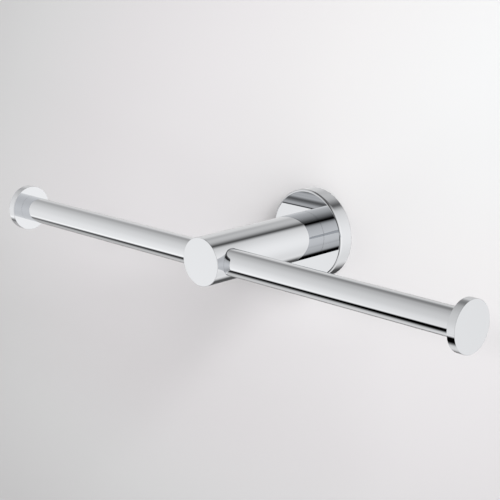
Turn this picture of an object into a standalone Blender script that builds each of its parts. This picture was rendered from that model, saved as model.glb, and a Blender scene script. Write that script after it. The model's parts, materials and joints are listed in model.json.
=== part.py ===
"""Double toilet roll holder for a wall: one post with an arm to each side, as separate solids.

Metres, +Z up. The wall is the plane Y = 0 and the room lies on the -Y side. The arms run along X.
The origin is where the post's axis meets the wall, in the middle of the bracket's back face.
"""

import math

import bmesh
import bpy

# The whole holder
OVERALL_WIDTH = 0.3303
POST_PROJECTION = 0.0896
ARM_SETBACK = 0.0116

# Fits that all pieces share
SEAT_GAP = 0.0003
CUT_OVERRUN = 0.002

# Flange, the round cup that stands on the wall
FLANGE_DIAMETER = 0.0508
FLANGE_RIM_WALL = 0.0034
FLANGE_FACE_WALL = 0.0022
FLANGE_FILLET = 0.0012

# Post, a tube that is closed at the front
POST_DIAMETER = 0.026
POST_WALL = 0.002
POST_NOSE = 0.003
POST_FILLET = 0.0002

# Arms
ARM_DIAMETER = 0.0145
ARM_WALL = 0.0015

# End caps and how they are held
CAP_DIAMETER = 0.026
CAP_THICKNESS = 0.00455
CAP_FILLET = 0.0002
CAP_FACE = 0.0016
CAP_STUD_LENGTH = 0.010
ARM_TIP_PLUG_LENGTH = 0.010

# Joint of the arms inside the post
CROSS_BLOCK_WAIST = 0.014
CROSS_BLOCK_LENGTH = 0.0164
CROSS_STUD_LENGTH = 0.038
ARM_ROOT_PLUG_LENGTH = 0.014

# Threaded holes in the arms' plugs, as shares of a plug's radius
CROSS_STUD_HOLE_SHARE = 0.6
CAP_STUD_HOLE_SHARE = 0.51

# Joint of the post and the flange
POST_PLUG_LENGTH = 0.012
POST_BOLT_DIAMETER = 0.006
POST_BOLT_LENGTH = 0.014
POST_BOLT_HEAD_DIAMETER = 0.010
POST_BOLT_HEAD_HEIGHT = 0.0028
POST_BOLT_SOCKET_FLATS = 0.004
POST_BOLT_SOCKET_DEPTH = 0.0016
WASHER_DIAMETER = 0.012
WASHER_THICKNESS = 0.001

# Wall bracket inside the flange
BRACKET_WEB = 0.0018
BRACKET_GROOVE_DEPTH = 0.0015
BRACKET_FRONT_CLEARANCE = 0.0008
POCKET_SIDE_CLEARANCE = 0.001
POCKET_DEPTH_CLEARANCE = 0.0006

# Wall screws
WALL_SCREW_DIAMETER = 0.004
WALL_SCREW_LENGTH = 0.030
WALL_SCREW_POINT_LENGTH = 0.004
WALL_SCREW_HEAD_DIAMETER = 0.008
WALL_SCREW_RECESS_SPAN = 0.0042
WALL_SCREW_RECESS_WIDTH = 0.0009
WALL_SCREW_RECESS_DEPTH = 0.0014

# Grub screw, which draws the flange onto the bracket
GRUB_DIAMETER = 0.004
GRUB_SINK = 0.0003
GRUB_POINT_DIAMETER = 0.0008
GRUB_SOCKET_FLATS = 0.002
GRUB_SOCKET_DEPTH = 0.0016

# Small edges on studs and bolts
THREAD_CHAMFER = 0.0005

# Facets: the pieces that show are rounder than those inside
OUTER_SIDES = 64
INNER_SIDES = 32
HEXAGON_SIDES = 6
FACET_START_SHARE = 0.5
FILLET_STEPS = 4
SHARP_EDGE_ANGLE = math.radians(30)

# Ends of a turned piece, as the way they face along its axis
LOWER = -1
UPPER = 1
RIGHT_ANGLE = math.pi / 2

# A seat that slopes at 45 degrees keeps SEAT_GAP square to itself when it is eased by this much
SLOPE_EASE = SEAT_GAP * math.sqrt(2)

# Places along the post's axis, as distances from the wall
BOLT_HEAD_BACK = BRACKET_WEB + POCKET_DEPTH_CLEARANCE
BOLT_HEAD_FRONT = BOLT_HEAD_BACK + POST_BOLT_HEAD_HEIGHT
WASHER_BACK = BOLT_HEAD_FRONT + SEAT_GAP
WASHER_FRONT = WASHER_BACK + WASHER_THICKNESS
FLANGE_CAVITY_DEPTH = WASHER_FRONT + SEAT_GAP
FLANGE_THICKNESS = FLANGE_CAVITY_DEPTH + FLANGE_FACE_WALL
BRACKET_THICKNESS = FLANGE_CAVITY_DEPTH - BRACKET_FRONT_CLEARANCE
GRUB_FROM_WALL = BRACKET_THICKNESS / 2
POST_BACK = FLANGE_THICKNESS + SEAT_GAP
ARM_FROM_WALL = POST_PROJECTION - ARM_SETBACK
BLOCK_FRONT = POST_PROJECTION - POST_NOSE - SEAT_GAP

# Radii that follow from the sizes above
BRACKET_RADIUS = FLANGE_DIAMETER / 2 - FLANGE_RIM_WALL - SEAT_GAP
GROOVE_RADIUS = BRACKET_RADIUS - BRACKET_GROOVE_DEPTH
POCKET_RADIUS = WASHER_DIAMETER / 2 + POCKET_SIDE_CLEARANCE
BOLT_HOLE_RADIUS = POST_BOLT_DIAMETER / 2 + SEAT_GAP
POST_BORE_RADIUS = POST_DIAMETER / 2 - POST_WALL
ARM_HOLE_RADIUS = ARM_DIAMETER / 2 + SEAT_GAP
ARM_PLUG_RADIUS = ARM_DIAMETER / 2 - ARM_WALL - SEAT_GAP
CROSS_STUD_HOLE_RADIUS = ARM_PLUG_RADIUS * CROSS_STUD_HOLE_SHARE
CROSS_STUD_RADIUS = CROSS_STUD_HOLE_RADIUS - SEAT_GAP
CAP_STUD_HOLE_RADIUS = ARM_PLUG_RADIUS * CAP_STUD_HOLE_SHARE
CAP_STUD_RADIUS = CAP_STUD_HOLE_RADIUS - SEAT_GAP

# Places along an arm, as distances from the post's axis
ARM_START = CROSS_BLOCK_WAIST / 2 + SEAT_GAP
CAP_OUTER = OVERALL_WIDTH / 2
CAP_INNER = CAP_OUTER - CAP_THICKNESS
ARM_END = CAP_INNER - SEAT_GAP
CAP_TAP_END = CAP_OUTER - CAP_FACE

# Distance of each wall screw from the post's axis: the middle of the bracket's free ring
WALL_SCREW_OFFSET = (POCKET_RADIUS + GROOVE_RADIUS) / 2

SIDES_OF_POST = {"left": -1, "right": 1}


def clear_scene():
    for existing in list(bpy.data.objects):
        bpy.data.objects.remove(existing, do_unlink=True)


def metal(name, colour, roughness):
    finish = bpy.data.materials.new(name)
    finish.use_nodes = True
    shader = finish.node_tree.nodes["Principled BSDF"]
    shader.inputs["Base Color"].default_value = (*colour, 1.0)
    shader.inputs["Roughness"].default_value = roughness
    shader.inputs["Metallic"].default_value = 1.0
    return finish


def polished_chrome(name):
    return metal(name + "_chrome", (0.78, 0.79, 0.80), 0.04)


def zinc_plated_steel(name):
    return metal(name + "_zinc_plate", (0.62, 0.63, 0.65), 0.32)


def die_cast_zinc(name):
    return metal(name + "_die_cast", (0.48, 0.49, 0.50), 0.50)


def raw_brass(name):
    return metal(name + "_brass", (0.72, 0.55, 0.27), 0.30)


def guide(name, location, rotation):
    """An empty whose local Z is the axis that the pieces on it are turned about."""
    empty = bpy.data.objects.new(name, None)
    empty.location = location
    empty.rotation_euler = rotation
    bpy.context.scene.collection.objects.link(empty)
    return empty


def placed(name, shape, axis, finish):
    """Make an object from a bmesh and hang it on its axis."""
    bmesh.ops.recalc_face_normals(shape, faces=shape.faces)
    mesh = bpy.data.meshes.new(name)
    shape.to_mesh(mesh)
    shape.free()
    mesh.shade_smooth()
    mesh.set_sharp_from_angle(angle=SHARP_EDGE_ANGLE)
    piece = bpy.data.objects.new(name, mesh)
    piece.parent = axis
    if finish is not None:
        mesh.materials.append(finish)
    bpy.context.scene.collection.objects.link(piece)
    return piece


def turned(name, outline, sides, axis, finish=None):
    """Turn an outline of (radius, height) points about the axis.

    An outline that starts and ends at radius zero is a solid bar. Any other closes into a ring.
    """
    shape = bmesh.new()
    rings = []
    for radius, height in outline:
        count = sides if radius > 0 else 1
        angles = [math.tau * (step + FACET_START_SHARE) / sides for step in range(count)]
        rings.append([shape.verts.new((radius * math.cos(a), radius * math.sin(a), height)) for a in angles])
    neighbours = list(zip(rings, rings[1:]))
    if outline[0][0] > 0:
        neighbours.append((rings[-1], rings[0]))
    for lower, upper in neighbours:
        for step in range(sides):
            near, far = step, (step + 1) % sides
            corners = (
                lower[near % len(lower)],
                lower[far % len(lower)],
                upper[far % len(upper)],
                upper[near % len(upper)],
            )
            shape.faces.new(list(dict.fromkeys(corners)))
    return placed(name, shape, axis, finish)


def box(name, size, centre, axis):
    shape = bmesh.new()
    bmesh.ops.create_cube(shape, size=1.0)
    bmesh.ops.scale(shape, vec=size, verts=shape.verts)
    bmesh.ops.translate(shape, vec=centre, verts=shape.verts)
    return placed(name, shape, axis, None)


def rounded_edge(radius, height, fillet, end):
    """Quarter arc in place of the outer edge at (radius, height), at the LOWER or the UPPER end."""
    centre_radius = radius - fillet
    centre_height = height - end * fillet
    first_angle = 0 if end == UPPER else -RIGHT_ANGLE
    points = []
    for step in range(FILLET_STEPS + 1):
        angle = first_angle + RIGHT_ANGLE * step / FILLET_STEPS
        points.append((centre_radius + fillet * math.cos(angle), centre_height + fillet * math.sin(angle)))
    return points


def cut(piece, cutter):
    """Cut one closed shape out of a piece and hide the cutter."""
    cutter.hide_render = True
    cutter.display_type = "WIRE"
    difference = piece.modifiers.new("cut_" + cutter.name, "BOOLEAN")
    difference.operation = "DIFFERENCE"
    difference.solver = "EXACT"
    difference.object = cutter


def drill(piece, name, radius, start, end, sides, axis):
    """Cut a round hole from start to end along an axis."""
    cut(piece, turned(name, [(0, start), (radius, start), (radius, end), (0, end)], sides, axis))


def hexagon_socket(piece, name, flats, start, end, axis):
    """Cut a hexagon socket whose size is given across its flats."""
    drill(piece, name, flats / math.sqrt(3), start, end, HEXAGON_SIDES, axis)


def build_wall_bracket(wall_axis, screw_axes):
    """Disc on the wall: a pocket clears the bolt's head, a groove round the rim takes the grub screw."""
    outline = [
        (0, 0),
        (BRACKET_RADIUS, 0),
        (BRACKET_RADIUS, GRUB_FROM_WALL - BRACKET_GROOVE_DEPTH),
        (GROOVE_RADIUS, GRUB_FROM_WALL),
        (BRACKET_RADIUS, GRUB_FROM_WALL + BRACKET_GROOVE_DEPTH),
        (BRACKET_RADIUS, BRACKET_THICKNESS),
        (POCKET_RADIUS, BRACKET_THICKNESS),
        (POCKET_RADIUS, BRACKET_WEB),
        (0, BRACKET_WEB),
    ]
    bracket = turned("wall_bracket", outline, OUTER_SIDES, wall_axis, die_cast_zinc("wall_bracket"))
    for side, screw_axis in screw_axes.items():
        cut(bracket, screw_seat(side, screw_axis))


def screw_seat(side, screw_axis):
    """Cutter for a countersunk hole: the screw's own outline, eased by the gap."""
    mouth_radius = WALL_SCREW_HEAD_DIAMETER / 2 + SLOPE_EASE
    hole_radius = WALL_SCREW_DIAMETER / 2 + SEAT_GAP
    cone_top = BRACKET_THICKNESS - SEAT_GAP
    outline = [
        (0, -CUT_OVERRUN),
        (hole_radius, -CUT_OVERRUN),
        (hole_radius, cone_top - mouth_radius + hole_radius),
        (mouth_radius, cone_top),
        (mouth_radius, BRACKET_THICKNESS + CUT_OVERRUN),
        (0, BRACKET_THICKNESS + CUT_OVERRUN),
    ]
    return turned("screw_seat_" + side, outline, INNER_SIDES, screw_axis)


def build_wall_screw(side, screw_axis):
    """Countersunk screw with a cross recess, its head just under the bracket's face."""
    name = "wall_screw_" + side
    shank_radius = WALL_SCREW_DIAMETER / 2
    head_radius = WALL_SCREW_HEAD_DIAMETER / 2
    head_front = BRACKET_THICKNESS - SEAT_GAP
    tip = head_front - WALL_SCREW_LENGTH
    outline = [
        (0, tip),
        (shank_radius, tip + WALL_SCREW_POINT_LENGTH),
        (shank_radius, head_front - head_radius + shank_radius),
        (head_radius, head_front),
        (0, head_front),
    ]
    screw = turned(name, outline, INNER_SIDES, screw_axis, zinc_plated_steel(name))
    depth = WALL_SCREW_RECESS_DEPTH + CUT_OVERRUN
    centre = (0, 0, head_front - WALL_SCREW_RECESS_DEPTH + depth / 2)
    span, width = WALL_SCREW_RECESS_SPAN, WALL_SCREW_RECESS_WIDTH
    cut(screw, box(name + "_slot_across", (span, width, depth), centre, screw_axis))
    cut(screw, box(name + "_slot_along", (width, span, depth), centre, screw_axis))


def build_flange(wall_axis, grub_axis):
    """Round cup, open towards the wall, with a hole for the bolt and one for the grub screw."""
    radius = FLANGE_DIAMETER / 2
    fillet = min(FLANGE_FILLET, FLANGE_RIM_WALL, FLANGE_FACE_WALL)
    outline = [
        (radius - FLANGE_RIM_WALL, 0),
        (radius, 0),
        *rounded_edge(radius, FLANGE_THICKNESS, fillet, UPPER),
        (BOLT_HOLE_RADIUS, FLANGE_THICKNESS),
        (BOLT_HOLE_RADIUS, FLANGE_CAVITY_DEPTH),
        (radius - FLANGE_RIM_WALL, FLANGE_CAVITY_DEPTH),
    ]
    flange = turned("flange", outline, OUTER_SIDES, wall_axis, polished_chrome("flange"))
    hole_start = radius - FLANGE_RIM_WALL - CUT_OVERRUN
    hole_radius = GRUB_DIAMETER / 2 + SEAT_GAP
    drill(flange, "grub_hole", hole_radius, hole_start, radius + CUT_OVERRUN, INNER_SIDES, grub_axis)


def build_grub_screw(grub_axis):
    """Set screw: its cone points into the bracket's groove and its socket opens downwards."""
    radius = GRUB_DIAMETER / 2
    point_radius = GRUB_POINT_DIAMETER / 2
    tip = GROOVE_RADIUS + SLOPE_EASE + point_radius
    end = FLANGE_DIAMETER / 2 - GRUB_SINK
    outline = [
        (0, tip),
        (point_radius, tip),
        (radius, tip + radius - point_radius),
        (radius, end - THREAD_CHAMFER),
        (radius - THREAD_CHAMFER, end),
        (0, end),
    ]
    grub = turned("grub_screw", outline, INNER_SIDES, grub_axis, zinc_plated_steel("grub_screw"))
    socket_start = end - GRUB_SOCKET_DEPTH
    hexagon_socket(grub, "grub_socket", GRUB_SOCKET_FLATS, socket_start, end + CUT_OVERRUN, grub_axis)


def build_post(wall_axis, right_arm_axis):
    """Tube with a closed nose and a hole through both sides for the arms."""
    radius = POST_DIAMETER / 2
    bore_end = POST_PROJECTION - POST_NOSE
    fillet = min(POST_FILLET, POST_WALL)
    outline = [
        (0, bore_end),
        (POST_BORE_RADIUS, bore_end),
        (POST_BORE_RADIUS, POST_BACK),
        (radius, POST_BACK),
        *rounded_edge(radius, POST_PROJECTION, fillet, UPPER),
        (0, POST_PROJECTION),
    ]
    post = turned("post", outline, OUTER_SIDES, wall_axis, polished_chrome("post"))
    reach = radius + CUT_OVERRUN
    drill(post, "arm_holes", ARM_HOLE_RADIUS, -reach, reach, OUTER_SIDES, right_arm_axis)


def build_post_plug(wall_axis):
    """Threaded bush in the rear end of the post."""
    outer_radius = POST_BORE_RADIUS - SEAT_GAP
    outline = [
        (BOLT_HOLE_RADIUS, POST_BACK),
        (outer_radius, POST_BACK),
        (outer_radius, POST_BACK + POST_PLUG_LENGTH),
        (BOLT_HOLE_RADIUS, POST_BACK + POST_PLUG_LENGTH),
    ]
    turned("post_plug", outline, INNER_SIDES, wall_axis, raw_brass("post_plug"))


def build_post_bolt(wall_axis):
    """Bolt from behind, through the washer and the flange, into the plug."""
    radius = POST_BOLT_DIAMETER / 2
    head_radius = POST_BOLT_HEAD_DIAMETER / 2
    end = BOLT_HEAD_FRONT + POST_BOLT_LENGTH
    outline = [
        (0, BOLT_HEAD_BACK),
        (head_radius - THREAD_CHAMFER, BOLT_HEAD_BACK),
        (head_radius, BOLT_HEAD_BACK + THREAD_CHAMFER),
        (head_radius, BOLT_HEAD_FRONT),
        (radius, BOLT_HEAD_FRONT),
        (radius, end - THREAD_CHAMFER),
        (radius - THREAD_CHAMFER, end),
        (0, end),
    ]
    bolt = turned("post_bolt", outline, INNER_SIDES, wall_axis, zinc_plated_steel("post_bolt"))
    hexagon_socket(
        bolt,
        "bolt_socket",
        POST_BOLT_SOCKET_FLATS,
        BOLT_HEAD_BACK - CUT_OVERRUN,
        BOLT_HEAD_BACK + POST_BOLT_SOCKET_DEPTH,
        wall_axis,
    )


def build_post_washer(wall_axis):
    outline = [
        (BOLT_HOLE_RADIUS, WASHER_BACK),
        (WASHER_DIAMETER / 2, WASHER_BACK),
        (WASHER_DIAMETER / 2, WASHER_FRONT),
        (BOLT_HOLE_RADIUS, WASHER_FRONT),
    ]
    turned("post_washer", outline, INNER_SIDES, wall_axis, zinc_plated_steel("post_washer"))


def build_cross_block(wall_axis, right_arm_axis):
    """Block in the front of the post: the stud passes through it and each arm seats on a milled flat."""
    radius = POST_BORE_RADIUS - SEAT_GAP
    back = BLOCK_FRONT - CROSS_BLOCK_LENGTH
    outline = [(0, back), (radius, back), (radius, BLOCK_FRONT), (0, BLOCK_FRONT)]
    block = turned("cross_block", outline, INNER_SIDES, wall_axis, raw_brass("cross_block"))
    seat = CROSS_BLOCK_WAIST / 2
    reach = radius + CUT_OVERRUN
    flat_size = (reach - seat, 2 * reach, CROSS_BLOCK_LENGTH + 2 * CUT_OVERRUN)
    for side, direction in SIDES_OF_POST.items():
        centre = (direction * (seat + reach) / 2, 0, (back + BLOCK_FRONT) / 2)
        cut(block, box("block_flat_" + side, flat_size, centre, wall_axis))
    drill(block, "stud_hole", CROSS_STUD_HOLE_RADIUS, -reach, reach, INNER_SIDES, right_arm_axis)


def stud(name, radius, start, end, axis):
    """Threaded stud, shown by its outer diameter, with chamfered ends."""
    outline = [
        (0, start),
        (radius - THREAD_CHAMFER, start),
        (radius, start + THREAD_CHAMFER),
        (radius, end - THREAD_CHAMFER),
        (radius - THREAD_CHAMFER, end),
        (0, end),
    ]
    turned(name, outline, INNER_SIDES, axis, zinc_plated_steel(name))


def arm_plug(name, hole_radius, start, end, axis):
    """Threaded bush in one end of an arm."""
    outline = [
        (hole_radius, start),
        (ARM_PLUG_RADIUS, start),
        (ARM_PLUG_RADIUS, end),
        (hole_radius, end),
    ]
    turned(name, outline, INNER_SIDES, axis, raw_brass(name))


def build_arm(side, arm_axis):
    """Straight tube from the cross block to the end cap, with a plug in each end."""
    name = "arm_" + side
    radius = ARM_DIAMETER / 2
    outline = [
        (radius - ARM_WALL, ARM_START),
        (radius, ARM_START),
        (radius, ARM_END),
        (radius - ARM_WALL, ARM_END),
    ]
    turned(name, outline, OUTER_SIDES, arm_axis, polished_chrome(name))
    root_end = ARM_START + ARM_ROOT_PLUG_LENGTH
    arm_plug("arm_root_plug_" + side, CROSS_STUD_HOLE_RADIUS, ARM_START, root_end, arm_axis)
    tip_start = ARM_END - ARM_TIP_PLUG_LENGTH
    arm_plug("arm_tip_plug_" + side, CAP_STUD_HOLE_RADIUS, tip_start, ARM_END, arm_axis)


def build_end_cap(side, arm_axis):
    """Round disc with rounded edges and a blind threaded hole, and the stud in that hole."""
    name = "end_cap_" + side
    radius = CAP_DIAMETER / 2
    fillet = min(CAP_FILLET, CAP_THICKNESS / 2)
    outline = [
        (0, CAP_TAP_END),
        (CAP_STUD_HOLE_RADIUS, CAP_TAP_END),
        (CAP_STUD_HOLE_RADIUS, CAP_INNER),
        *rounded_edge(radius, CAP_INNER, fillet, LOWER),
        *rounded_edge(radius, CAP_OUTER, fillet, UPPER),
        (0, CAP_OUTER),
    ]
    turned(name, outline, OUTER_SIDES, arm_axis, polished_chrome(name))
    stud_end = CAP_TAP_END - SEAT_GAP
    stud("cap_stud_" + side, CAP_STUD_RADIUS, stud_end - CAP_STUD_LENGTH, stud_end, arm_axis)


def main():
    clear_scene()
    wall_axis = guide("wall_axis", (0, 0, 0), (RIGHT_ANGLE, 0, 0))
    grub_axis = guide("grub_axis", (0, -GRUB_FROM_WALL, 0), (math.pi, 0, 0))
    arm_axes = {}
    screw_axes = {}
    for side, direction in SIDES_OF_POST.items():
        arm_axes[side] = guide("arm_axis_" + side, (0, -ARM_FROM_WALL, 0), (0, direction * RIGHT_ANGLE, 0))
        screw_place = (direction * WALL_SCREW_OFFSET, 0, 0)
        screw_axes[side] = guide("screw_axis_" + side, screw_place, (RIGHT_ANGLE, 0, 0))

    build_wall_bracket(wall_axis, screw_axes)
    build_flange(wall_axis, grub_axis)
    build_grub_screw(grub_axis)
    build_post(wall_axis, arm_axes["right"])
    build_post_plug(wall_axis)
    build_post_bolt(wall_axis)
    build_post_washer(wall_axis)
    build_cross_block(wall_axis, arm_axes["right"])
    half_stud = CROSS_STUD_LENGTH / 2
    stud("cross_stud", CROSS_STUD_RADIUS, -half_stud, half_stud, arm_axes["right"])
    for side in SIDES_OF_POST:
        build_wall_screw(side, screw_axes[side])
        build_arm(side, arm_axes[side])
        build_end_cap(side, arm_axes[side])


main()
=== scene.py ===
"""Looks of the double toilet roll holder.

Everything that shows is polished chrome. Plated steel, brass and zinc are inside. A pale wall
carries the holder, and a studio gives the chrome something to mirror.

Metres, +Z up. The wall is the plane Y = 0, the room is on its -Y side, and the arms run along X.
"""

import json
import math

import bpy
import numpy as np
from mathutils import Matrix


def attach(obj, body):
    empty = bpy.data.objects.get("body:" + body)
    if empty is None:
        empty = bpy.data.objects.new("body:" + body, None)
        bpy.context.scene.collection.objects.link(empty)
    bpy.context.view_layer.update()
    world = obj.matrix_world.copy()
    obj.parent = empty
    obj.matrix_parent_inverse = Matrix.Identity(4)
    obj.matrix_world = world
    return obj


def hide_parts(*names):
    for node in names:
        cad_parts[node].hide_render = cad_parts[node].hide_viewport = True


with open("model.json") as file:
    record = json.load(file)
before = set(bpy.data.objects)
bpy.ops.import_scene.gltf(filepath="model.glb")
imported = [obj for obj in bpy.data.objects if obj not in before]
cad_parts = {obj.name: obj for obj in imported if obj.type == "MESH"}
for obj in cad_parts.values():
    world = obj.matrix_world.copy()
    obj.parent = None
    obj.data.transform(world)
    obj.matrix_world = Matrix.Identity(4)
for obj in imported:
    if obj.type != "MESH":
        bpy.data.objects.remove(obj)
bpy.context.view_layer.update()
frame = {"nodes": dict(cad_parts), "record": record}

# Sizes in metres. A radius is measured from a piece's own axis. Other places are distances from
# the wall, or on the arms and the end discs from the post's axis.
FLANGE_RADIUS = 0.0254
FLANGE_THICKNESS = 0.009
FLANGE_CAVITY_RADIUS = 0.022
FLANGE_CAVITY_DEPTH = 0.0068
FLANGE_FILLET = 0.0012
FLANGE_BACK_FILLET = 0.0005
BOLT_HOLE_RADIUS = 0.0033
GRUB_FROM_WALL = 0.003
GRUB_HOLE_RADIUS = 0.0023
# Rounding of the outer edge of a cross hole
HOLE_LIP = 0.00006

POST_RADIUS = 0.013
POST_BORE_RADIUS = 0.011
POST_BACK = 0.00907
POST_BORE_END = 0.0866
POST_FRONT = 0.0896
POST_FILLET = 0.0002
# Half length of the stretch of post that the arms' holes are cut in
POST_HOLED_HALF = 0.009

ARM_RADIUS = 0.00725
ARM_BORE_RADIUS = 0.00575
ARM_HOLE_RADIUS = 0.00727
ARM_FROM_WALL = 0.078
ARM_START = 0.0073
ARM_END = 0.16055

# End discs, and the blind hole for the stud that holds each
DISC_RADIUS = 0.013
DISC_INNER = 0.1606
DISC_OUTER = 0.16515
DISC_FILLET = 0.0002
DISC_TAP_RADIUS = 0.00278
DISC_TAP_END = 0.16355

# The grub screw's tip and end are distances from the post's axis
GRUB_RADIUS = 0.002
GRUB_POINT_RADIUS = 0.0004
GRUB_TIP = 0.0210
GRUB_END = 0.0251
GRUB_CHAMFER = 0.0005
GRUB_SOCKET_FLATS = 0.002
GRUB_SOCKET_DEPTH = 0.0016

# The wall screws sit on both sides of the middle, and their points are in the wall
SCREW_OFFSET = 0.0136
SCREW_HEAD_FRONT = 0.0057
SCREW_HEAD_RADIUS = 0.004
SCREW_RADIUS = 0.002
SCREW_CORE_RADIUS = 0.00135
SCREW_TIP = -0.0243
SCREW_POINT = 0.004
SCREW_NECK = 0.004
SCREW_RUN_OUT = 0.0006
SCREW_PITCH = 0.0018
SCREW_RECESS_SPAN = 0.0042
SCREW_RECESS_WIDTH = 0.0009
SCREW_RECESS_DEPTH = 0.0014

# Shape of the wall screw's thread: half width of a tooth in shares of the pitch, and the powers
# that round the tooth and the point
TOOTH_HALF_WIDTH = 0.27
TOOTH_POWER = 0.8
POINT_POWER = 0.6

# Steps round a turned surface, round a screw, along a rounded edge, from a cross hole out to its
# rim, and along one turn of thread
TURN_STEPS = 256
SMALL_TURN_STEPS = 96
FILLET_STEPS = 10
HOLE_ROWS = 20
THREAD_STEPS = 16
# Power that crowds the rows towards a cross hole
HOLE_CROWDING = 1.4
# Points that round to the same step are welded. Evenly spaced points often lie halfway between
# two round steps, so this one is odd.
WELD_STEP = 1.37e-7

# A quarter turn
QUARTER = math.pi / 2


# Surfaces. A patch is a grid of points with a grid of normals, and a placing is an origin with
# three rows, the piece's own X, Y and Z.

def unit(vectors):
    """Each vector divided by its own length."""
    return vectors / np.linalg.norm(vectors, axis=-1, keepdims=True)


def frame_of(origin, axis, start):
    """Placing of a turned piece: its rows are start, axis x start and axis."""
    axis, start = np.array(axis, float), np.array(start, float)
    return np.array(origin, float), np.stack([start, np.cross(axis, start), axis])


WALL_FRAME = frame_of((0, 0, 0), (0, -1, 0), (1, 0, 0))


def line(start, end):
    """Straight stretch of an outline. Its normal is its direction turned clockwise."""
    points = np.array([start, end], float)
    along = unit(points[1] - points[0])
    return points, np.tile([along[1], -along[0]], (2, 1))


def arc(centre, radius, first, last):
    """Round stretch of an outline: centre + radius (cos a, sin a), with a from first to last."""
    angles = np.linspace(first, last, FILLET_STEPS + 1)
    spokes = np.stack([np.cos(angles), np.sin(angles)], axis=1)
    return np.array(centre, float) + radius * spokes, spokes * np.sign(last - first)


def full_turn(steps):
    """Angles once round a circle, the last one the same as the first."""
    angles = np.linspace(0, math.tau, steps + 1)
    angles[-1] = 0.0
    return angles


def turn(outline, placing, steps=TURN_STEPS):
    """Outline points (r, h) turned about an axis: X = r cos t, Y = r sin t, Z = h."""
    origin, rows = placing
    t = full_turn(steps)
    ring = np.stack([np.cos(t), np.sin(t), np.zeros_like(t)], axis=1)
    patches = []
    for points, normals in outline:
        grids = []
        for pair in (points, normals):
            grid = pair[:, None, 0, None] * ring[None]
            grid[..., 2] = pair[:, None, 1]
            grids.append(grid @ rows)
        patches.append((grids[0] + origin, grids[1]))
    return patches


def wrapped(radius, sign, angle, height, placing):
    """Points on a cylinder: X = radius cos angle, Y = radius sin angle, Z = height.

    Angles and heights are grids. The normal is radial, and points inwards where sign is -1.
    """
    origin, rows = placing
    spokes = np.stack([np.cos(angle), np.sin(angle), np.zeros_like(angle)], axis=-1)
    points = radius * spokes
    points[..., 2] = height
    return points @ rows + origin, sign * spokes @ rows


def square_rim(steps):
    """Points round the square from -1 to 1, corner first, the same number on each side."""
    side = np.linspace(-1, 1, steps + 1)[:-1]
    full = np.ones(steps)
    across = np.concatenate([side, full, -side, -full, [-1.0]])
    along = np.concatenate([-full, side, full, -side, [-1.0]])
    return across, along


def round_the_hole(steps):
    """Angles once round a cross hole, from the corner that the square's rim starts at."""
    return np.linspace(-0.75 * math.pi, 1.25 * math.pi, 4 * steps + 1)


def holed_quarter(radius, sign, hole_radius, middle, low, high, placing, steps):
    """Quarter of a cylinder with a round hole in its middle.

    A point of the hole's edge is across = r cos p and along = r sin p, and its angle on the
    cylinder is asin(across / R). Each row is a blend of that edge and the quarter's rim:
    (1 - s) edge + s rim, with s from 0 to 1.
    """
    p = round_the_hole(steps)
    centre = (low + high) / 2
    edge_angle = np.arcsin(hole_radius * np.cos(p) / radius)
    edge_height = centre + hole_radius * np.sin(p)
    across, along = square_rim(steps)
    rim_angle = across * QUARTER / 2
    rim_height = centre + along * (high - low) / 2
    s = np.linspace(0, 1, HOLE_ROWS + 1)[:, None] ** HOLE_CROWDING
    angle = middle + (1 - s) * edge_angle + s * rim_angle
    height = (1 - s) * edge_height + s * rim_height
    return wrapped(radius, sign, angle, height, placing)


def plain_quarter(radius, sign, middle, low, high, placing, steps):
    """Quarter of a cylinder on an even grid of angles and heights."""
    angles = middle + np.linspace(-1, 1, steps + 1) * QUARTER / 2
    heights = np.linspace(low, high, steps + 1)
    angle, height = np.meshgrid(angles, heights, indexing="ij")
    return wrapped(radius, sign, angle, height, placing)


def holed_band(radius, sign, hole_radius, hole_quarters, low, high, placing):
    """Full turn of a cylinder in four quarters, some of them with a hole in the middle.

    Quarter 0 has its middle on the piece's own X, and each next one is a quarter turn on.
    """
    steps = TURN_STEPS // 4
    patches = []
    for quarter in range(4):
        middle = quarter * QUARTER
        if quarter in hole_quarters:
            holed = holed_quarter(radius, sign, hole_radius, middle, low, high, placing, steps)
            patches.append(holed)
        else:
            patches.append(plain_quarter(radius, sign, middle, low, high, placing, steps))
    return patches


def hole_wall(outer, inner, hole_radius, lip, middle, height, placing):
    """Wall of a cross hole from one cylinder to the next, with a rounded lip at the outer edge.

    Round the hole, across = r cos p and along = r sin p, and a cylinder of radius R is reached at
    sqrt(R squared - across squared). On the lip, at angle q, the radius is r + f (1 - sin q) and
    the reach is less by f (1 - cos q).
    """
    origin, rows = placing
    p = round_the_hole(TURN_STEPS // 4)[None]
    q = np.linspace(0, QUARTER, FILLET_STEPS // 2 + 1)[:, None]
    c, s = math.cos(middle), math.sin(middle)
    place = np.array([[c, s, 0], [-s, c, 0], [0, 0, 1]]) @ rows

    def placed(radius, reach):
        across = radius * np.cos(p) + 0 * reach
        along = height + radius * np.sin(p) + 0 * reach
        return np.stack([reach, across, along], axis=-1) @ place + origin

    radius = hole_radius + lip * (1 - np.sin(q))
    reach = np.sqrt(outer**2 - (radius * np.cos(p)) ** 2) - lip * (1 - np.cos(q))
    spoke = np.stack([reach / outer, radius * np.cos(p) / outer, 0 * reach], axis=-1)
    inwards = np.stack([0 * p, -np.cos(p), -np.sin(p)], axis=-1)
    lip_normals = unit(np.cos(q)[..., None] * unit(spoke) + np.sin(q)[..., None] * inwards)

    share = np.linspace(0, 1, 3)[:, None]
    start = np.sqrt(outer**2 - (hole_radius * np.cos(p)) ** 2) - lip
    end = np.sqrt(inner**2 - (hole_radius * np.cos(p)) ** 2)
    bore = placed(np.full_like(share, hole_radius), (1 - share) * start + share * end)
    bore_normals = np.repeat(inwards, len(share), axis=0)
    return [(placed(radius, reach), lip_normals @ place), (bore, bore_normals @ place)]


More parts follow.
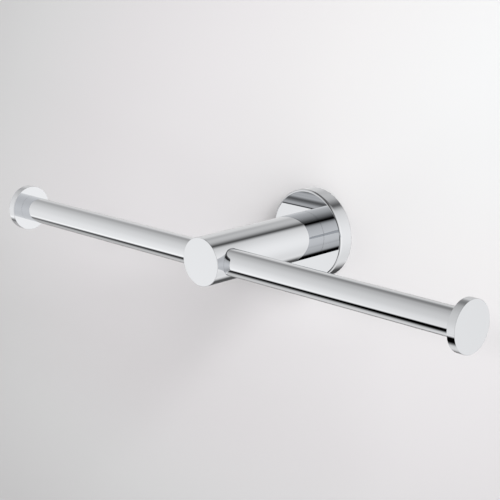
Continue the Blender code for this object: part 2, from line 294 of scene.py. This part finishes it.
def socket(outline_radius, rim_radius, face, floor, placing, steps):
    """Recess in a flat end: a face from the recess's outline to the rim, its wall and its floor.

    The outline is a radius for each angle. The face is (1 - s) outline + s rim, and the floor is
    s outline, with s from 0 to 1.
    """
    origin, rows = placing
    t = full_turn(steps)
    spokes = np.stack([np.cos(t), np.sin(t), 0 * t], axis=1)
    edge = outline_radius(t)[:, None] * spokes
    share = np.linspace(0, 1, 4)[:, None, None]
    up = np.array([0, 0, 1.0])

    def flat(radius_points, height):
        grid = radius_points + height * up
        return grid @ rows + origin, np.broadcast_to(up, grid.shape) @ rows

    flat_face = flat((1 - share) * edge + share * rim_radius * spokes, face)
    flat_floor = flat(share * edge, floor)
    tangent = np.roll(edge[:-1], -1, axis=0) - edge[:-1]
    tangent = np.concatenate([tangent, tangent[:1]])
    inward = unit(np.stack([-tangent[:, 1], tangent[:, 0], 0 * t], axis=1))
    height = np.array([face, floor])[:, None, None] * up
    wall = (edge[None] + height) @ rows + origin, np.repeat(inward[None], 2, axis=0) @ rows
    return [flat_face, wall, flat_floor]


def cross_outline(span, width):
    """Radius of a cross at angle t: the larger of its two slots' reach.

    The level slot reaches the smaller of half span / |cos t| and half width / |sin t|. For the
    upright one, cos and sin change places.
    """
    def radius(t):
        smallest = 1e-9
        c = np.maximum(np.abs(np.cos(t)), smallest)
        s = np.maximum(np.abs(np.sin(t)), smallest)
        level = np.minimum(span / 2 / c, width / 2 / s)
        upright = np.minimum(span / 2 / s, width / 2 / c)
        return np.maximum(level, upright)
    return radius


def hexagon_outline(flats):
    """Radius of a hexagon at angle t: half its flats / cos of the angle from a flat's middle."""
    sixth = math.tau / 6

    def radius(t):
        return flats / 2 / np.cos((t + sixth / 2) % sixth - sixth / 2)
    return radius


def threaded_shank(core, crest, start, end, placing):
    """Screw thread: radius = core + (crest - core) tooth, a narrow tooth that winds round.

    The tooth is a hat function of the phase height / pitch - turn, raised to a power. It fades
    out in the first turn below the neck, and both radii shrink to nothing over the point.
    """
    origin, rows = placing
    turns = np.linspace(0, 1, SMALL_TURN_STEPS + 1)
    t = full_turn(SMALL_TURN_STEPS)
    height = np.linspace(end, start, int((start - end) / SCREW_PITCH * THREAD_STEPS) + 1)
    phase = (height[:, None] / SCREW_PITCH - turns[None]) % 1.0
    tooth = np.clip(1 - np.abs(phase - 0.5) / TOOTH_HALF_WIDTH, 0, 1) ** TOOTH_POWER
    fade = np.clip((start - height) / SCREW_PITCH, 0, 1)[:, None]
    taper = np.clip((height - end) / SCREW_POINT, 0, 1)[:, None] ** POINT_POWER
    radius = (core + (crest - core) * tooth * fade) * taper
    radius[:, -1] = radius[:, 0]
    across, upright = radius * np.cos(t), radius * np.sin(t)
    points = np.stack([across, upright, height[:, None] + 0 * radius], axis=-1)
    slope_up = np.gradient(points, axis=0)
    slope_round = np.gradient(points, axis=1)
    seam = (slope_round[:, 0] + slope_round[:, -1]) / 2
    slope_round[:, 0] = seam
    slope_round[:, -1] = seam
    normals = np.cross(slope_round, slope_up)
    normals[0] = (0, 0, -1)
    return [(points @ rows + origin, unit(normals) @ rows)]


def joined(patches):
    """All patches as one array of corners, one of their normals and one of quads.

    Each cell of a patch is a quad, and a patch that faces against its normals is turned over.
    """
    corners, corner_normals, quads = [], [], []
    offset = 0
    for points, normals in patches:
        rows, columns = points.shape[:2]
        index = offset + np.arange(rows * columns).reshape(rows, columns)
        around = [index[:-1, :-1], index[:-1, 1:], index[1:, 1:], index[1:, :-1]]
        quad = np.stack(around, axis=-1).reshape(-1, 4)
        flat_points, flat_normals = points.reshape(-1, 3), normals.reshape(-1, 3)
        a, b, c, d = (flat_points[quad[:, k] - offset] for k in range(4))
        facing = np.cross(c - a, d - b)
        outward = flat_normals[quad - offset].sum(axis=1)
        if (facing * outward).sum() < 0:
            quad = quad[:, ::-1]
        quads.append(quad)
        corners.append(flat_points)
        corner_normals.append(flat_normals)
        offset += rows * columns
    return np.concatenate(corners), np.concatenate(corner_normals), np.concatenate(quads)


def closed_mesh(name, patches):
    """One closed mesh from patches, smooth to the normals they give.

    Points on the same welding step become one, and a quad left with two corners is dropped.
    """
    corners, corner_normals, quads = joined(patches)
    keys = np.round(corners / WELD_STEP).astype(np.int64)
    _, first, welded = np.unique(keys, axis=0, return_index=True, return_inverse=True)
    faces = welded.reshape(-1)[quads]
    keep = faces != np.roll(faces, 1, axis=1)
    sides = keep.sum(axis=1)
    real = sides >= 3
    faces, keep, quads, sides = faces[real], keep[real], quads[real], sides[real]
    mesh = bpy.data.meshes.new(name)
    mesh.vertices.add(len(first))
    mesh.vertices.foreach_set("co", corners[first].astype(np.float32).ravel())
    mesh.loops.add(int(keep.sum()))
    mesh.loops.foreach_set("vertex_index", faces[keep].astype(np.int32))
    mesh.polygons.add(len(faces))
    mesh.polygons.foreach_set("loop_start", (np.cumsum(sides) - sides).astype(np.int32))
    mesh.polygons.foreach_set("use_smooth", np.ones(len(faces), bool))
    mesh.update(calc_edges=True)
    mesh.validate()
    mesh.normals_split_custom_set(corner_normals[quads[keep]])
    return mesh


def solid(name, patches, finish, node):
    """A piece in place of a CAD node: its closed mesh and its finish. The CAD node that it replaces
    is hidden.
    """
    piece = bpy.data.objects.new(name, closed_mesh(name, patches))
    piece.data.materials.append(finish)
    bpy.context.scene.collection.objects.link(piece)
    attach(piece, "root")
    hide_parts(node)


# Materials

def linear(colour, alpha=1.0):
    """sRGB hex to linear light."""
    shares = np.array([int(colour[k:k + 2], 16) for k in (1, 3, 5)]) / 255
    values = np.where(shares <= 0.04045, shares / 12.92, ((shares + 0.055) / 1.055) ** 2.4)
    return (*values.tolist(), alpha)


def feed(tree, node, inputs):
    """Sets a node's inputs. A socket or a node is linked, and anything else is a value."""
    for key, value in inputs.items():
        if isinstance(value, bpy.types.Node):
            value = value.outputs[0]
        if isinstance(value, bpy.types.NodeSocket):
            tree.links.new(value, node.inputs[key])
        else:
            node.inputs[key].default_value = value


def add(tree, kind, inputs=None, stops=(), **settings):
    """Adds a node with its own settings, its inputs, and the places and colours of its ramp."""
    node = tree.nodes.new(kind)
    for key, value in settings.items():
        setattr(node, key, value)
    while stops and len(node.color_ramp.elements) < len(stops):
        node.color_ramp.elements.new(0.5)
    for step, (place, colour) in enumerate(stops):
        node.color_ramp.elements[step].position = place
        node.color_ramp.elements[step].color = linear(colour)
    feed(tree, node, inputs or {})
    return node


def metal(name):
    """A new bare metal: the material, its nodes, its shader and the object's coordinates."""
    finish = bpy.data.materials.new(name)
    finish.use_nodes = True
    tree = finish.node_tree
    shader = tree.nodes["Principled BSDF"]
    shader.inputs["Metallic"].default_value = 1.0
    return finish, tree, shader, add(tree, "ShaderNodeTexCoord").outputs["Object"]


def polished_chrome(piece, along):
    """Bright chrome plate on buffed brass: a cool mirror, very slightly softened to the eye.

    Buffing leaves hair-fine lines across the axis named by along, and the plating leaves a long,
    shallow ripple. The lines are really about 0.05 mm apart and are drawn 0.6 mm apart, so that
    they show at all. The gloss follows the lines and a wider haze, which together average 1.
    """
    finish, tree, shader, place = metal("polished_chrome_" + piece)
    line_spacing, line_length = 0.0006, 1 / 60
    haze_width = 0.012
    ripple_length, ripple_height = 0.018, 0.000004
    scale = [1 / line_length] * 3
    scale["XYZ".index(along)] = 1 / line_spacing
    stretched = add(tree, "ShaderNodeMapping", {"Vector": place, "Scale": scale})
    fine = {"Vector": stretched, "Scale": 1.0, "Detail": 3.0, "Roughness": 0.6}
    lines = add(tree, "ShaderNodeTexNoise", fine)
    wide = {"Vector": place, "Scale": 1 / haze_width, "Detail": 2.0}
    haze = add(tree, "ShaderNodeTexNoise", wide)
    both = add(tree, "ShaderNodeMath", {0: lines, 1: haze}, operation="ADD")
    gloss = {"From Min": 0.6, "From Max": 1.4, "To Min": 0.006, "To Max": 0.03}
    rough = add(tree, "ShaderNodeMapRange", {"Value": both, **gloss})
    long_waves = {"Vector": place, "Scale": 1 / ripple_length, "Detail": 1.0}
    ripple = add(tree, "ShaderNodeTexNoise", long_waves)
    height = {"Height": ripple, "Strength": 1.0, "Distance": ripple_height}
    relief = add(tree, "ShaderNodeBump", height)
    feed(tree, shader, {"Base Color": linear("#D0D2D5"), "Roughness": rough, "Normal": relief})
    return finish


def zinc_plated_steel(piece):
    """Bright zinc plate on steel: a soft grey shine, a faint blue and straw bloom, a fine grain."""
    finish, tree, shader, place = metal("bright_zinc_plate_" + piece)
    bloom_width = 0.004
    grain_width, grain_height = 0.00015, 0.00002
    soft = {"Vector": place, "Scale": 1 / bloom_width, "Detail": 2.0}
    bloom = add(tree, "ShaderNodeTexNoise", soft)
    blue_to_straw = ((0.38, "#B3B9C4"), (0.64, "#C9C6B9"))
    tint = add(tree, "ShaderNodeValToRGB", {"Fac": bloom}, blue_to_straw)
    fine = {"Vector": place, "Scale": 1 / grain_width, "Detail": 3.0}
    grain = add(tree, "ShaderNodeTexNoise", fine)
    rough = add(tree, "ShaderNodeMapRange", {"Value": grain, "To Min": 0.26, "To Max": 0.44})
    height = {"Height": grain, "Strength": 0.4, "Distance": grain_height}
    relief = add(tree, "ShaderNodeBump", height)
    feed(tree, shader, {"Base Color": tint, "Roughness": rough, "Normal": relief})
    return finish


def die_cast_zinc(piece):
    """Bare die-cast zinc alloy: dull mid grey, cloudy from the die, and pimpled."""
    finish, tree, shader, place = metal("die_cast_zinc_" + piece)
    cloud_width = 0.005
    pimple_width, pimple_height = 0.0004, 0.00004
    soft = {"Vector": place, "Scale": 1 / cloud_width, "Detail": 4.0}
    clouds = add(tree, "ShaderNodeTexNoise", soft)
    aged_to_fresh = ((0.3, "#84878C"), (0.7, "#A3A6A9"))
    tint = add(tree, "ShaderNodeValToRGB", {"Fac": clouds}, aged_to_fresh)
    rough = add(tree, "ShaderNodeMapRange", {"Value": clouds, "To Min": 0.42, "To Max": 0.62})
    fine = {"Vector": place, "Scale": 1 / pimple_width, "Detail": 2.0}
    pimples = add(tree, "ShaderNodeTexNoise", fine)
    height = {"Height": pimples, "Strength": 0.5, "Distance": pimple_height}
    relief = add(tree, "ShaderNodeBump", height)
    feed(tree, shader, {"Base Color": tint, "Roughness": rough, "Normal": relief})
    return finish


def turned_brass(piece, along):
    """Free-cutting brass straight from the lathe: warm yellow, with tool rings across its axis.

    The rings are really about 0.2 mm apart and are drawn 1.9 mm apart, so that they show. A wave
    texture of scale 1 has 20 radians to the metre.
    """
    finish, tree, shader, place = metal("turned_brass_" + piece)
    radian_length, ring_height = 0.0003, 0.00003
    tarnish_width = 0.006
    bands = {"Vector": place, "Scale": 1 / radian_length / 20, "Distortion": 0.6, "Detail": 1.0}
    straight = {"wave_type": "BANDS", "bands_direction": along, "wave_profile": "SIN"}
    rings = add(tree, "ShaderNodeTexWave", bands, **straight).outputs["Fac"]
    soft = {"Vector": place, "Scale": 1 / tarnish_width, "Detail": 3.0}
    tarnish = add(tree, "ShaderNodeTexNoise", soft)
    dull_to_bright = ((0.3, "#C4A468"), (0.65, "#E0C78F"))
    tint = add(tree, "ShaderNodeValToRGB", {"Fac": tarnish}, dull_to_bright)
    rough = add(tree, "ShaderNodeMapRange", {"Value": tarnish, "To Min": 0.22, "To Max": 0.4})
    height = {"Height": rings, "Strength": 0.5, "Distance": ring_height}
    relief = add(tree, "ShaderNodeBump", height)
    feed(tree, shader, {"Base Color": tint, "Roughness": rough, "Normal": relief})
    return finish


# The pieces that show. An outline's points are (distance from the piece's axis, place along it),
# and turning it about that axis gives the piece.

def make_flange():
    """Cup on the wall: rim, rounded edges, a face with the bolt's hole, and the cavity behind.

    The band of the rim next to the wall has the grub screw's hole in its lowest quarter.
    """
    r, t, f, g = FLANGE_RADIUS, FLANGE_THICKNESS, FLANGE_FILLET, FLANGE_BACK_FILLET
    cavity, depth, hole = FLANGE_CAVITY_RADIUS, FLANGE_CAVITY_DEPTH, BOLT_HOLE_RADIUS
    grub, lip, band = GRUB_HOLE_RADIUS, HOLE_LIP, 2 * GRUB_FROM_WALL
    lowest = 3
    outline = [
        line((r, band - g), (r, t - f)),
        arc((r - f, t - f), f, 0, QUARTER),
        line((r - f, t), (hole, t)),
        line((hole, t), (hole, depth)),
        line((hole, depth), (cavity, depth)),
        line((cavity, depth), (cavity, band)),
        line((cavity, 0), (r - g, 0)),
        arc((r - g, g), g, -QUARTER, 0),
    ]
    patches = turn(outline, WALL_FRAME)
    patches += holed_band(r, 1, grub + lip, (lowest,), g, band - g, WALL_FRAME)
    patches += holed_band(cavity, -1, grub, (lowest,), 0, band, WALL_FRAME)
    patches += hole_wall(r, cavity, grub, lip, lowest * QUARTER, GRUB_FROM_WALL, WALL_FRAME)
    finish = polished_chrome("flange", "Y")
    solid("flange_shell", patches, finish, "flange")


def make_post():
    """Tube from the flange to its closed nose, with a round hole on each side for an arm."""
    r, b, f, lip = POST_RADIUS, POST_BORE_RADIUS, POST_FILLET, HOLE_LIP
    outer_low, outer_high = ARM_FROM_WALL - POST_HOLED_HALF, ARM_FROM_WALL + POST_HOLED_HALF
    inner_low, inner_high = 2 * ARM_FROM_WALL - POST_BORE_END, POST_BORE_END
    right, left = 0, 2
    outline = [
        line((r, POST_BACK), (r, outer_low)),
        line((r, outer_high), (r, POST_FRONT - f)),
        arc((r - f, POST_FRONT - f), f, 0, QUARTER),
        line((r - f, POST_FRONT), (0, POST_FRONT)),
        line((0, inner_high), (b, inner_high)),
        line((b, inner_low), (b, POST_BACK)),
        line((b, POST_BACK), (r, POST_BACK)),
    ]
    patches = turn(outline, WALL_FRAME)
    hole = ARM_HOLE_RADIUS
    patches += holed_band(r, 1, hole + lip, (right, left), outer_low, outer_high, WALL_FRAME)
    patches += holed_band(b, -1, hole, (right, left), inner_low, inner_high, WALL_FRAME)
    for side in (right, left):
        patches += hole_wall(r, b, hole, lip, side * QUARTER, ARM_FROM_WALL, WALL_FRAME)
    solid("post_tube", patches, polished_chrome("post", "Y"), "post")


def make_arm(side, direction):
    """Straight tube from inside the post to the end disc."""
    placing = frame_of((0, -ARM_FROM_WALL, 0), (direction, 0, 0), (0, 0, 1))
    outline = [
        line((ARM_BORE_RADIUS, ARM_START), (ARM_RADIUS, ARM_START)),
        line((ARM_RADIUS, ARM_START), (ARM_RADIUS, ARM_END)),
        line((ARM_RADIUS, ARM_END), (ARM_BORE_RADIUS, ARM_END)),
        line((ARM_BORE_RADIUS, ARM_END), (ARM_BORE_RADIUS, ARM_START)),
    ]
    finish = polished_chrome("arm_" + side, "X")
    solid("arm_tube_" + side, turn(outline, placing), finish, "arm_" + side)


def make_end_disc(side, direction):
    """Disc with hair-fine rounded edges and the blind hole for its stud."""
    placing = frame_of((0, -ARM_FROM_WALL, 0), (direction, 0, 0), (0, 0, 1))
    r, f, inner, outer = DISC_RADIUS, DISC_FILLET, DISC_INNER, DISC_OUTER
    outline = [
        line((0, DISC_TAP_END), (DISC_TAP_RADIUS, DISC_TAP_END)),
        line((DISC_TAP_RADIUS, DISC_TAP_END), (DISC_TAP_RADIUS, inner)),
        line((DISC_TAP_RADIUS, inner), (r - f, inner)),
        arc((r - f, inner + f), f, -QUARTER, 0),
        line((r, inner + f), (r, outer - f)),
        arc((r - f, outer - f), f, 0, QUARTER),
        line((r - f, outer), (0, outer)),
    ]
    name, patches = "end_disc_" + side, turn(outline, placing)
    solid(name, patches, polished_chrome(name, "X"), "end_cap_" + side)


def make_grub_screw():
    """Set screw in the flange's underside, its cone inwards and its hexagon socket downwards."""
    placing = frame_of((0, -GRUB_FROM_WALL, 0), (0, 0, -1), (1, 0, 0))
    r, p, tip, end = GRUB_RADIUS, GRUB_POINT_RADIUS, GRUB_TIP, GRUB_END
    chamfer, steps = GRUB_CHAMFER, SMALL_TURN_STEPS
    outline = [
        line((0, tip), (p, tip)),
        line((p, tip), (r, tip + r - p)),
        line((r, tip + r - p), (r, end - chamfer)),
        line((r, end - chamfer), (r - chamfer, end)),
    ]
    patches = turn(outline, placing, steps)
    recess = hexagon_outline(GRUB_SOCKET_FLATS)
    patches += socket(recess, r - chamfer, end, end - GRUB_SOCKET_DEPTH, placing, steps)
    finish = zinc_plated_steel("grub_screw")
    solid("grub_screw_body", patches, finish, "grub_screw")


def make_wall_screw(side, direction):
    """Countersunk wood screw: cross recess in its head, plain neck, coarse thread to its point."""
    placing = frame_of((direction * SCREW_OFFSET, 0, 0), (0, -1, 0), (1, 0, 0))
    front, head, shank = SCREW_HEAD_FRONT, SCREW_HEAD_RADIUS, SCREW_RADIUS
    core, steps = SCREW_CORE_RADIUS, SMALL_TURN_STEPS
    neck_front = front - head + shank
    thread_front = neck_front - SCREW_NECK
    neck_back = thread_front + SCREW_RUN_OUT
    outline = [
        line((core, thread_front), (shank, neck_back)),
        line((shank, neck_back), (shank, neck_front)),
        line((shank, neck_front), (head, front)),
    ]
    patches = turn(outline, placing, steps)
    recess = cross_outline(SCREW_RECESS_SPAN, SCREW_RECESS_WIDTH)
    patches += socket(recess, head, front, front - SCREW_RECESS_DEPTH, placing, steps)
    patches += threaded_shank(core, shank, thread_front, SCREW_TIP, placing)
    node = "wall_screw_" + side
    solid("threaded_" + node, patches, zinc_plated_steel(node), node)


make_flange()
make_post()
make_grub_screw()
for side, direction in (("left", -1), ("right", 1)):
    make_arm(side, direction)
    make_end_disc(side, direction)
    make_wall_screw(side, direction)

# The pieces inside keep the CAD's shapes and get their finishes. Brass is turned along the post
# or else along the arms.
BRASS_ALONG_POST = ("post_plug", "cross_block")
for entry in frame["record"]["subparts"]:
    node, slot = entry["node"], entry["material_slot"]
    piece = frame["nodes"][node]
    if piece.hide_render:
        continue
    if slot == "die_cast_zinc":
        finish = die_cast_zinc(node)
    elif slot == "raw_brass":
        finish = turned_brass(node, "Y" if node in BRASS_ALONG_POST else "X")
    else:
        finish = zinc_plated_steel(node)
    piece.data.materials.clear()
    piece.data.materials.append(finish)

# Wall: half its width and height, and its distance behind the flange's back
WALL_REACH = 4.0
WALL_SETBACK = 0.0002
# Painted light on the wall: the paint's colour at even steps from the middle of a soft oval
# of painted light to its rim and beyond, palest in the middle and darker outwards, and the oval's
# middle, half length and half height, and tilt in degrees
WALL_PAINTED_LIGHT_SHADES = ("#DFE0E1", "#DFE0E1", "#DDDCDD", "#D7D5D7", "#D0CED0", "#C7C7C8", "#BCBCBD")
WALL_LIGHT_POOL_MIDDLE = (0.2298, 0, 0.1425)
WALL_LIGHT_POOL_HALVES = (0.7302, 1, 0.2976)
WALL_LIGHT_POOL_TILT = 25.98


def wall_paint_with_painted_light():
    """Matt pale grey paint with painted light, and a faint roller stipple. A wide soft oval of
    paler paint stands in for the light on the wall: it is palest at its middle, up and to the
    right, and darker further out.

    The painted light goes by the distance from the oval's middle, in shares of its half length and
    half height. From behind the paint is clear, so that the back of the holder shows.
    """
    paint = bpy.data.materials.new("wall_paint_with_painted_light")
    paint.use_nodes = True
    tree = paint.node_tree
    shader = tree.nodes["Principled BSDF"]
    stipple_width, stipple_height = 0.002, 0.00002
    place = add(tree, "ShaderNodeTexCoord").outputs["Object"]
    tilt = (0, -math.radians(WALL_LIGHT_POOL_TILT), 0)
    light_pool = {"Location": WALL_LIGHT_POOL_MIDDLE, "Rotation": tilt, "Scale": WALL_LIGHT_POOL_HALVES}
    shares = add(tree, "ShaderNodeMapping", {"Vector": place, **light_pool}, vector_type="TEXTURE")
    away = add(tree, "ShaderNodeVectorMath", {0: shares}, operation="LENGTH").outputs["Value"]
    last = len(WALL_PAINTED_LIGHT_SHADES) - 1
    stops = [(step / last, colour) for step, colour in enumerate(WALL_PAINTED_LIGHT_SHADES)]
    # Painted light: the ramp puts paler paint at the oval's middle and darker paint further out, in
    # place of the light falling on the wall
    painted_light_ramp = add(tree, "ShaderNodeValToRGB", {"Fac": away}, stops)
    fine = {"Vector": place, "Scale": 1 / stipple_width, "Detail": 2.0}
    stipple = add(tree, "ShaderNodeTexNoise", fine)
    height = {"Height": stipple, "Strength": 0.3, "Distance": stipple_height}
    relief = add(tree, "ShaderNodeBump", height)
    matt = {"Roughness": 0.8, "Specular IOR Level": 0.0}
    feed(tree, shader, {"Base Color": painted_light_ramp, "Normal": relief, **matt})
    seen = add(tree, "ShaderNodeLightPath").outputs["Is Camera Ray"]
    behind = add(tree, "ShaderNodeNewGeometry").outputs["Backfacing"]
    seen_from_behind = add(tree, "ShaderNodeMath", {0: seen, 1: behind}, operation="MULTIPLY")
    clear = add(tree, "ShaderNodeBsdfTransparent")
    mixed = add(tree, "ShaderNodeMixShader", {0: seen_from_behind, 1: shader, 2: clear})
    feed(tree, tree.nodes["Material Output"], {"Surface": mixed})
    return paint


def make_wall():
    """Painted wall with its painted light, a hair behind the flange. The chrome mirrors the studio,
    not the wall.
    """
    mesh = bpy.data.meshes.new("wall")
    square = ((-1, -1), (1, -1), (1, 1), (-1, 1))
    corners = [(x * WALL_REACH, WALL_SETBACK, z * WALL_REACH) for x, z in square]
    mesh.from_pydata(corners, [], [(0, 1, 2, 3)])
    mesh.materials.append(wall_paint_with_painted_light())
    wall = bpy.data.objects.new("wall", mesh)
    bpy.context.scene.collection.objects.link(wall)
    wall.visible_glossy = False


make_wall()

# Studio, in degrees. Azimuth 0 is out from the wall into the room and 90 is to the right.
# Soft lamps: azimuth, elevation, sharpness of the falloff, strength
SOFT_LAMPS = {
    "floor_glint": (-68.5, -45.6, 40.37, 2.543),
    "right_wash": (110.0, -4.7, 0.83, 1.335),
    "front_fill": (24.7, -8.7, 2.74, 0.504),
    "back_left_high": (-129.3, 34.5, 18.55, 0.836),
    "front_left": (-46.1, -13.2, 10.36, 0.550),
    "floor_left": (-137.5, -61.9, 7.95, 1.017),
    "left_wash": (-63.1, 22.2, 4.61, 0.655),
    "back_left_low": (-135.7, 3.2, 50.47, 0.429),
    "front_low": (-50.1, -29.1, 45.40, 0.413),
    "ceiling_left_glint": (-133.7, 45.2, 35.77, 0.648),
    "floor_rim_glint": (-61.7, -38.6, 138.64, 1.069),
}
# Dark flags: azimuth, half width, elevation, half height, then the widths of the soft left,
# right, lower and upper edges, and the share of the light that is kept off. A flag with a half
# width of 200 reaches all round.
DARK_FLAGS = {
    "floor_edge": (-43.8, 42.7, -44.7, 12.4, 59.7, 22.0, 8.0, 7.5, 1.00),
    "ceiling_gap_back": (167.1, 8.9, 56.3, 19.3, 18.7, 31.2, 14.2, 10.1, 0.96),
    "ceiling_gap_front": (10.8, 16.8, 39.0, 8.5, 49.9, 14.4, 18.9, 11.2, 1.00),
    "ceiling_left": (-128.4, 22.5, 49.0, 19.0, 30.4, 38.5, 25.2, 17.2, 0.80),
    "floor_back_left": (-150.1, 25.9, -40.0, 27.9, 34.2, 60.0, 1.1, 23.7, 0.91),
    "ceiling_front": (14.6, 13.5, 55.0, 9.5, 5.6, 16.4, 4.7, 16.0, 0.98),
    "floor_edge_right": (-33.2, 5.4, -31.5, 7.0, 1.5, 2.6, 6.7, 2.2, 0.97),
    "ceiling_front_left": (-19.0, 27.2, 56.1, 10.4, 12.9, 1.1, 3.9, 2.6, 0.70),
    "ceiling_left_low": (-116.4, 18.6, 28.7, 3.9, 10.2, 35.3, 16.3, 15.6, 0.15),
    "floor_edge_left": (-65.4, 17.7, -40.9, 5.3, 22.3, 22.1, 12.5, 1.8, 0.81),
    "ceiling_top": (0.0, 200.0, 84.6, 25.5, 1.0, 1.0, 10.1, 0.7, 0.65),
    "front_gap": (3.6, 22.6, -0.7, 32.8, 16.7, 24.9, 5.2, 13.6, 0.82),
}
STUDIO_WHITE = "#FFFEFD"
# What the camera sees past the wall
BACKDROP = "#F2F2F2"


def direction_of(azimuth, elevation):
    """Unit vector: (sin az cos el, -cos az cos el, sin el)."""
    a, e = math.radians(azimuth), math.radians(elevation)
    return np.array([math.sin(a) * math.cos(e), -math.cos(a) * math.cos(e), math.sin(e)])


def lamp_light(tree, direction):
    """Light in direction d: strength * exp(sharpness (d . lamp - 1)), summed over the lamps."""
    light = 0.0
    for azimuth, elevation, sharpness, strength in SOFT_LAMPS.values():
        facing = {0: direction, 1: direction_of(azimuth, elevation).tolist()}
        dot = add(tree, "ShaderNodeVectorMath", facing, operation="DOT_PRODUCT")
        near = {0: dot.outputs["Value"], 1: sharpness, 2: -sharpness}
        power = add(tree, "ShaderNodeMath", near, operation="MULTIPLY_ADD")
        glow = add(tree, "ShaderNodeMath", {0: power}, operation="EXPONENT")
        brighter = {0: glow, 1: strength, 2: light}
        light = add(tree, "ShaderNodeMath", brighter, operation="MULTIPLY_ADD")
    return light


def flagged_light(tree, direction, light):
    """The light times 1 - depth * flag, for each dark flag in turn.

    A flag is the product of four soft steps, one for each of its edges in azimuth and elevation.
    """
    parts = add(tree, "ShaderNodeSeparateXYZ", {0: direction}).outputs
    outwards = add(tree, "ShaderNodeMath", {0: parts[1], 1: -1}, operation="MULTIPLY")
    turned = add(tree, "ShaderNodeMath", {0: parts[0], 1: outwards}, operation="ARCTAN2")
    azimuth_here = add(tree, "ShaderNodeMath", {0: turned}, operation="DEGREES")
    raised = add(tree, "ShaderNodeMath", {0: parts[2]}, operation="ARCSINE")
    elevation_here = add(tree, "ShaderNodeMath", {0: raised}, operation="DEGREES")

    for azimuth, half_width, elevation, half_height, *softness, depth in DARK_FLAGS.values():
        sideways = {0: azimuth_here, 1: azimuth}
        from_middle = add(tree, "ShaderNodeMath", sideways, operation="SUBTRACT")
        within_turn = {0: from_middle, 1: 180, 2: -180}
        across = add(tree, "ShaderNodeMath", within_turn, operation="WRAP")
        rise = {0: elevation_here, 1: elevation}
        upwards = add(tree, "ShaderNodeMath", rise, operation="SUBTRACT")
        soft_left, soft_right, soft_low, soft_high = softness
        flag = -depth
        for place, edge, soft, before, after in (
            (across, -half_width, soft_left, 0, 1),
            (across, half_width, soft_right, 1, 0),
            (upwards, -half_height, soft_low, 0, 1),
            (upwards, half_height, soft_high, 1, 0),
        ):
            ends = {"From Min": edge - soft / 2, "From Max": edge + soft / 2}
            levels = {"Value": place, **ends, "To Min": before, "To Max": after}
            step = add(tree, "ShaderNodeMapRange", levels, interpolation_type="SMOOTHSTEP")
            flag = add(tree, "ShaderNodeMath", {0: flag, 1: step}, operation="MULTIPLY")
        dimmed = {0: light, 1: flag, 2: light}
        light = add(tree, "ShaderNodeMath", dimmed, operation="MULTIPLY_ADD")
    return light


def make_studio():
    """World of lamps and flags for light and reflections. The camera sees a plain backdrop."""
    world = bpy.data.worlds.new("studio")
    bpy.context.scene.world = world
    world.use_nodes = True
    tree = world.node_tree
    direction = add(tree, "ShaderNodeTexCoord").outputs["Generated"]
    light = flagged_light(tree, direction, lamp_light(tree, direction))
    studio = tree.nodes["Background"]
    feed(tree, studio, {"Color": linear(STUDIO_WHITE), "Strength": light})
    pale = add(tree, "ShaderNodeBackground", {"Color": linear(BACKDROP), "Strength": 1.0})
    seen = add(tree, "ShaderNodeLightPath").outputs["Is Camera Ray"]
    mixed = add(tree, "ShaderNodeMixShader", {0: seen, 1: studio, 2: pale})
    feed(tree, tree.nodes["World Output"], {"Surface": mixed})


make_studio()


def matrix(basis, origin):
    """4 x 4 matrix from three column vectors and a place."""
    full = np.eye(4)
    full[:3, :3] = basis
    full[:3, 3] = origin
    return Matrix(full.tolist())


# Lamps: azimuth, elevation, distance, width, height, watts
LAMPS = {
    "right_high": (73.6, 31, 5, 2.2, 2.4, 440),
    "right_level": (75.6, 0, 5, 1.4, 2.6, 88),
    "front_high": (14.7, 22.8, 5, 1.1, 0.6, 22),
}
LAMP_TARGET = (0, -0.05, 0)


def make_lamp(name, azimuth, elevation, distance, width, height, power):
    """Soft lamp that points at the holder. It lights the wall alone: no metal mirrors it."""
    data = bpy.data.lights.new(name, "AREA")
    data.shape = "RECTANGLE"
    data.size, data.size_y = width, height
    data.energy = power
    lamp = bpy.data.objects.new(name, data)
    bpy.context.scene.collection.objects.link(lamp)
    back = direction_of(azimuth, elevation)
    across = unit(np.cross([0, 0, 1.0], back))
    basis = np.stack([across, np.cross(back, across), back], axis=1)
    lamp.matrix_world = matrix(basis, np.array(LAMP_TARGET) + back * distance)
    lamp.visible_glossy = False


for name, settings in LAMPS.items():
    make_lamp(name, *settings)

# Camera: angles in degrees, lengths in metres, the focal length in pixels of the image
CAMERA_AZIMUTH = 45.178
CAMERA_ELEVATION = 15.0762
CAMERA_ROLL = -0.1547
CAMERA_DISTANCE = 0.781859
CAMERA_TARGET = (-0.0034069, -0.050, -0.0017084)
CAMERA_FOCAL_PIXELS = 1453.4159
CAMERA_CLIP = (0.01, 20)
IMAGE_PIXELS = 500
SENSOR = 36.0


def make_camera():
    """Camera at the photograph's viewing angle, found from the holder's outlines in it."""
    data = bpy.data.cameras.new("camera")
    data.sensor_width = SENSOR
    data.lens = CAMERA_FOCAL_PIXELS * SENSOR / IMAGE_PIXELS
    data.clip_start, data.clip_end = CAMERA_CLIP
    camera = bpy.data.objects.new("camera", data)
    bpy.context.scene.collection.objects.link(camera)
    back = direction_of(CAMERA_AZIMUTH, CAMERA_ELEVATION)
    across = unit(np.cross(-back, [0, 0, 1.0]))
    upright = np.cross(across, -back)
    roll = math.radians(CAMERA_ROLL)
    rolled_across = math.cos(roll) * across + math.sin(roll) * upright
    rolled_upright = math.cos(roll) * upright - math.sin(roll) * across
    basis = np.stack([rolled_across, rolled_upright, back], axis=1)
    camera.matrix_world = matrix(basis, np.array(CAMERA_TARGET) + back * CAMERA_DISTANCE)
    bpy.context.scene.camera = camera


make_camera()
bpy.context.scene.view_settings.view_transform = "Standard"
